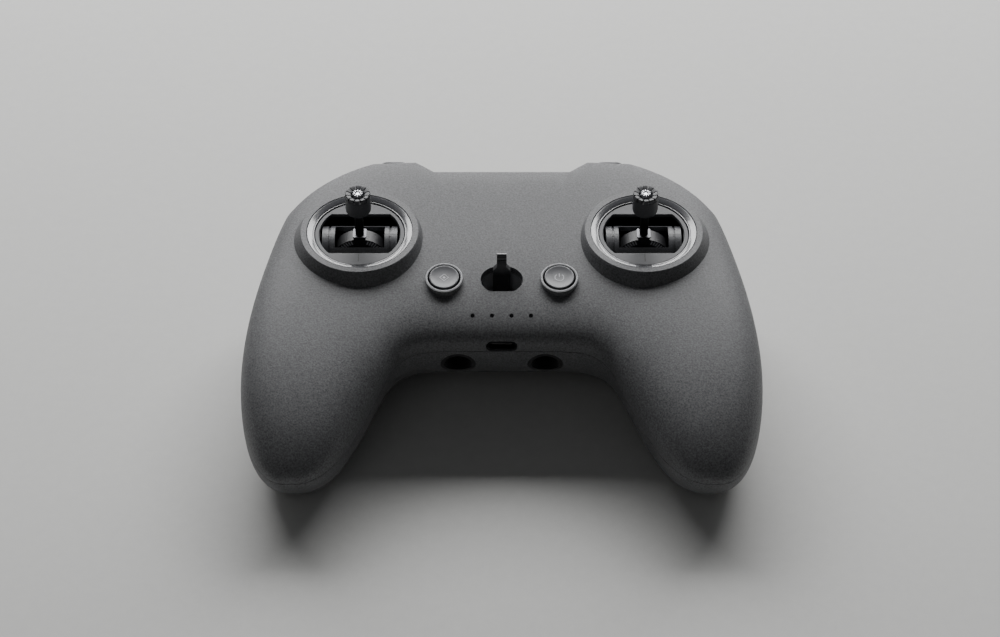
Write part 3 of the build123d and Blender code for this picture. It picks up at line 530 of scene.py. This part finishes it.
def build_star(side, points):
    """The metal grip pin in the crown: a pointed star with folded flanks round a small dimple."""
    base, top = CAP_HIGH - 1.6, CAP_HIGH + 0.25
    # Each ring: radius at the points, radius at the notches, height at the points, height at the notches.
    rings = [(2.3, 1.5, base, base), (2.3, 1.5, top - 0.5, top - 0.85), (1.7, 1.15, top - 0.1, top - 0.4)]
    rings += [(0.9, 0.9, top - 0.05, top - 0.05), (0.55, 0.55, top - 0.4, top - 0.4)]
    work = bmesh.new()
    loops = []
    for tip, notch, tip_z, notch_z in rings:
        loop = bmesh.ops.create_circle(work, radius=1.0, segments=2 * points)["verts"]
        for i, vert in enumerate(loop):
            reach, height = (notch, notch_z) if i % 2 else (tip, tip_z)
            vert.co = Vector((vert.co.x * reach, vert.co.y * reach, height))
        loops.append(loop)
    for lower, upper in zip(loops, loops[1:]):
        edges = [e for e in work.edges if any(all(v in loop for v in e.verts) for loop in (lower, upper))]
        bmesh.ops.bridge_loops(work, edges=edges)
    for loop in (loops[0], loops[-1]):
        bmesh.ops.contextual_create(work, geom=[e for e in work.edges if all(v in loop for v in e.verts)])
    at = (GIMBAL[side].x, GIMBAL[side].y, 0)
    nodes = (f"stick_star_{side}",)
    drawn_piece(work, at, f"grip_star_{side}", f"cap_{side}", "blasted_aluminium", nodes, 12)


def build_gimbals(finish):
    for side in SIDES:
        build_bezel(side)
        build_tick(side)
        build_scale(side)
        build_hub_marks(side)
        build_cap(side, finish.crown_teeth)
        build_star(side, finish.star_points)
        paint("cover_abs", f"gimbal_cover_{side}")
        paint("black_nylon", f"gimbal_base_{side}")
        paint("drum_nylon", f"gimbal_drum_{side}")
        paint("shield_nylon", f"stick_block_{side}")
        paint("stamped_steel", f"centring_leaf_{side}", f"drum_magnet_{side}")
        paint("dull_steel", f"stick_clip_{side}")
        paint("black_oxide_steel", f"stick_rod_{side}")
        paint("solder_mask", f"gimbal_board_{side}")


# ---- face controls ----
def tilt(work, above):
    """Slopes all that lies above a height like the front face."""
    for vert in work.verts:
        if vert.co.z > above:
            vert.co.z += FACE_SLOPE * vert.co.y


def build_button(key):
    """A dished button cap on a black collar, with a rounded lip and the flange that holds it in; the collar's
    black, seen in the gap round the cap, is painted shade.
    """
    node = f"{key}_button"
    low = node_box(node)[0].z
    top = BUTTON_TOP - FACE_SLOPE * BUTTON_R
    at = (BUTTONS[key].x, BUTTONS[key].y, 0)
    crown = [(0, top - 0.42), (2.2, top - 0.38), (3.4, top - 0.26), (4.1, top - 0.1), (4.45, top)]
    crown += [(4.62, top - 0.02), (BUTTON_R - 0.05, top - 0.12), (BUTTON_R, top - 0.3)]
    crown += [(BUTTON_R - 0.04, top - 0.5), (4.3, top - 0.55), (0, top - 0.95)]
    work = bmesh.new()
    spin_cap(work, crown)
    tilt(work, low + 3)
    drawn_piece(work, at, f"{key}_key", f"{node}_body", "button_abs", (node,), 40)
    # The collar's black wall and flange fill the gap between the cap and its rim: painted shade.
    shade_collar = [(1.6, low), (1.6, low + 2.6), (5.9, low + 2.6), (5.9, low + 3.6), (4.62, low + 3.6)]
    shade_collar += [(4.62, top - 0.5), (0, top - 0.75)]
    work = bmesh.new()
    spin_cap(work, [(0, low), *shade_collar])
    tilt(work, low + 4)
    drawn_piece(work, at, f"{key}_collar", f"{node}_body", "black_nylon", (), 40)


def build_button_rim(key):
    """The rim round a button: a ring with a rounded lip, coloured paler than the shell as a painted highlight.
    """
    top = face_height(0) + FACE_SLOPE * BUTTONS[key].y + 0.85
    lip = [(5.32, top - 1.2), (5.32, top - 0.2), (5.42, top - 0.04), (5.6, top + 0.03), (5.85, top)]
    lip += [(6.0, top - 0.12), (6.06, top - 0.3), (6.06, top - 1.2)]
    work = bmesh.new()
    spin_ring(work, lip)
    tilt(work, 30)
    at = (BUTTONS[key].x, BUTTONS[key].y, 0)
    # The rim's pale grey is a painted highlight, not a lighter plastic.
    drawn_piece(work, at, f"{key}_rim", "housing", "painted_highlight_abs", (), 40)


def build_marks():
    """Pale printed signs in the buttons' dishes: an on-off sign, and a ringed dot for the free button."""
    level = BUTTON_TOP - FACE_SLOPE * BUTTON_R - 0.4
    gap = radians(36)
    ring = [(1.25, level - 0.05), (1.55, level - 0.05), (1.55, level + 0.05), (1.25, level + 0.05)]
    power = bmesh.new()
    spin_sector(power, ring, pi / 2 + gap, 2 * pi - 2 * gap, 40)
    slab(power, (-0.15, 0.2, level - 0.05), (0.15, 1.65, level + 0.05))
    free = bmesh.new()
    spin_ring(free, ring, 4)
    spin_cap(free, [(0, level - 0.05), (0.42, level - 0.05), (0.42, level + 0.05), (0, level + 0.05)], 24)
    for key, work in (("power", power), ("function", free)):
        tilt(work, 30)
        at = (BUTTONS[key].x, BUTTONS[key].y, 0)
        drawn_piece(work, at, f"{key}_mark", f"{key}_button_body", "printed_ink")


def build_face_controls():
    for key in BUTTONS:
        build_button(key)
        build_button_rim(key)
    build_marks()
    paint("grey_polycarbonate", "lanyard_cup")
    paint("black_polycarbonate", "lanyard_hook")
    paint("smoked_acrylic", "light_pipes", "status_leds")
    paint("black_nylon", "function_switch", "power_switch")


# ---- shoulder controls ----
def build_shoulder_controls():
    paint("button_abs", "dial_plate", "shutter_plate", "shutter_button", "return_button")
    paint("silicone_rubber", "gimbal_dial")
    paint("black_nylon", "dial_bracket", "mode_switch_case", "return_switch", "mode_slider")
    paint("solder_mask", "shutter_switch")


# ---- port, sockets and inside ----
def build_inside():
    # Black oxide on the port's shell keeps the port's mouth dark: painted shade in the recess.
    paint("black_oxide_steel", "port_shell")
    paint("stamped_steel", "processor_shield", "radio_shield")
    paint("black_nylon", "port_tongue", "buzzer", "battery_cradle")
    paint("silicone_rubber", "storage_socket_left", "storage_socket_right")
    paint("solder_mask", "main_board", "antenna_left", "antenna_right")
    paint("shrink_sleeve", "battery_cell")


# ---- stage ----
def add_light(name, spot, aim, width, height, power):
    data = bpy.data.lights.new(name, "AREA")
    data.shape = "RECTANGLE"
    data.size = width
    data.size_y = height
    data.energy = power
    lamp = bpy.data.objects.new(name, data)
    bpy.context.scene.collection.objects.link(lamp)
    lamp.location = spot
    lamp.rotation_euler = (Vector(aim) - Vector(spot)).to_track_quat("-Z", "Y").to_euler()


def add_camera(studio):
    aim = Vector(CAMERA_AIM_MM) * MM
    rise = studio.elevation
    data = bpy.data.cameras.new("front_camera")
    data.lens = LENS_MM
    data.sensor_width = 36.0
    data.clip_start = 0.05
    data.clip_end = 20
    camera = bpy.data.objects.new("front_camera", data)
    bpy.context.scene.collection.objects.link(camera)
    camera.location = aim + studio.distance * Vector((0, -cos(rise), sin(rise)))
    camera.rotation_euler = (aim - camera.location).to_track_quat("-Z", "Y").to_euler()
    bpy.context.scene.camera = camera


def build_stage(studio):
    work = bmesh.new()
    bmesh.ops.create_grid(work, x_segments=24, y_segments=24, size=3.0)
    mesh = bpy.data.meshes.new("floor")
    work.to_mesh(mesh)
    work.free()
    mesh.materials.append(finish_named("studio_paper"))
    floor = bpy.data.objects.new("floor", mesh)
    bpy.context.scene.collection.objects.link(floor)
    aim = (0, 0.01, 0.02)
    add_light("back_softbox", (0, 0.75, 0.62), aim, 1.3, 0.45, 17 * studio.light)
    add_light("low_strip", (0, 1.0, 0.22), aim, 1.4, 0.16, 5 * studio.light)
    add_light("front_fill", (-0.3, -0.9, 0.9), aim, 0.9, 0.9, 0.45 * studio.light)
    world = bpy.data.worlds.new("studio_air")
    bpy.context.scene.world = world
    world.use_nodes = True
    air = world.node_tree.nodes["Background"]
    air.inputs["Color"].default_value = linear("#dfe0e2")
    air.inputs["Strength"].default_value = studio.air
    add_camera(studio)


# ---- add-on classes ----
class TransmitterFinish(bpy.types.PropertyGroup):
    shell_dark: FloatVectorProperty(
        name="Shell valleys", description="sRGB colour in the valleys of the shell's pebble",
        subtype="COLOR_GAMMA", size=3, min=0, max=1, default=(0.27, 0.273, 0.28),
    )
    shell_light: FloatVectorProperty(
        name="Shell tips", description="sRGB colour on the tips of the shell's pebble",
        subtype="COLOR_GAMMA", size=3, min=0, max=1, default=(0.47, 0.473, 0.48),
    )
    grain: FloatProperty(
        name="Shell grain", description="Size at which the shell's pebble is drawn",
        default=0.00055, min=0.0001, unit="LENGTH",
    )
    crown_teeth: IntProperty(
        name="Crown teeth", description="Radial teeth on each thumb cap", default=12, min=6, max=24
    )
    star_points: IntProperty(
        name="Star points", description="Points of the metal star in each crown", default=10, min=4, max=16
    )


class TransmitterStudio(bpy.types.PropertyGroup):
    elevation: FloatProperty(
        name="Elevation", description="The camera's height above the horizon",
        default=radians(45.5), min=0, max=pi / 2, subtype="ANGLE",
    )
    distance: FloatProperty(
        name="Distance", description="The camera's distance from the transmitter",
        default=0.85, min=0.2, unit="LENGTH",
    )
    light: FloatProperty(name="Light", description="Strength of the soft lights", default=1.0, min=0)
    air: FloatProperty(name="Air", description="Strength of the light from all round", default=0.06, min=0)


class TRANSMITTER_OT_housing(bpy.types.Operator):
    """Mould the front and rear shells, and blacken their screws"""

    bl_idname = "transmitter.housing"
    bl_label = "Housing"

    def execute(self, context):
        build_housing(context.scene.transmitter_finish)
        return {"FINISHED"}


class TRANSMITTER_OT_gimbals(bpy.types.Operator):
    """Turn the bezels, thumb caps and stars, and finish both stick gimbals"""

    bl_idname = "transmitter.gimbals"
    bl_label = "Stick gimbals"

    def execute(self, context):
        build_gimbals(context.scene.transmitter_finish)
        return {"FINISHED"}


class TRANSMITTER_OT_face_controls(bpy.types.Operator):
    """Make the two face buttons with their printed signs, and finish the lanyard recess and the lamps"""

    bl_idname = "transmitter.face_controls"
    bl_label = "Face controls"

    def execute(self, context):
        build_face_controls()
        return {"FINISHED"}


class TRANSMITTER_OT_shoulder_controls(bpy.types.Operator):
    """Finish the dial, the shutter button, the mode switch and the return button"""

    bl_idname = "transmitter.shoulder_controls"
    bl_label = "Shoulder controls"

    def execute(self, context):
        build_shoulder_controls()
        return {"FINISHED"}


class TRANSMITTER_OT_inside(bpy.types.Operator):
    """Finish the charging port, the stick sockets, the boards and the cell"""

    bl_idname = "transmitter.inside"
    bl_label = "Port and inside"

    def execute(self, context):
        build_inside()
        return {"FINISHED"}


class TRANSMITTER_OT_stage(bpy.types.Operator):
    """Lay the pale floor, and set the soft lights and the camera"""

    bl_idname = "transmitter.stage"
    bl_label = "Stage"

    def execute(self, context):
        build_stage(context.scene.transmitter_studio)
        return {"FINISHED"}


OPERATORS = (
    TRANSMITTER_OT_housing,
    TRANSMITTER_OT_gimbals,
    TRANSMITTER_OT_face_controls,
    TRANSMITTER_OT_shoulder_controls,
    TRANSMITTER_OT_inside,
    TRANSMITTER_OT_stage,
)


class TRANSMITTER_PT_panel(bpy.types.Panel):
    bl_idname = "TRANSMITTER_PT_panel"
    bl_label = "Transmitter"
    bl_space_type = "VIEW_3D"
    bl_region_type = "UI"
    bl_category = "Transmitter"

    def draw(self, context):
        for group in (context.scene.transmitter_finish, context.scene.transmitter_studio):
            for key in group.__annotations__:
                self.layout.prop(group, key)
        for operator in OPERATORS:
            self.layout.operator(operator.bl_idname)


CLASSES = (TransmitterFinish, TransmitterStudio, *OPERATORS, TRANSMITTER_PT_panel)


def register():
    for item in CLASSES:
        bpy.utils.register_class(item)
    bpy.types.Scene.transmitter_finish = PointerProperty(type=TransmitterFinish)
    bpy.types.Scene.transmitter_studio = PointerProperty(type=TransmitterStudio)


def unregister():
    del bpy.types.Scene.transmitter_studio
    del bpy.types.Scene.transmitter_finish
    for item in reversed(CLASSES):
        bpy.utils.unregister_class(item)


def main():
    register()
    bpy.ops.transmitter.housing()
    bpy.ops.transmitter.gimbals()
    bpy.ops.transmitter.face_controls()
    bpy.ops.transmitter.shoulder_controls()
    bpy.ops.transmitter.inside()
    bpy.ops.transmitter.stage()


if __name__ == "__main__":
    main()
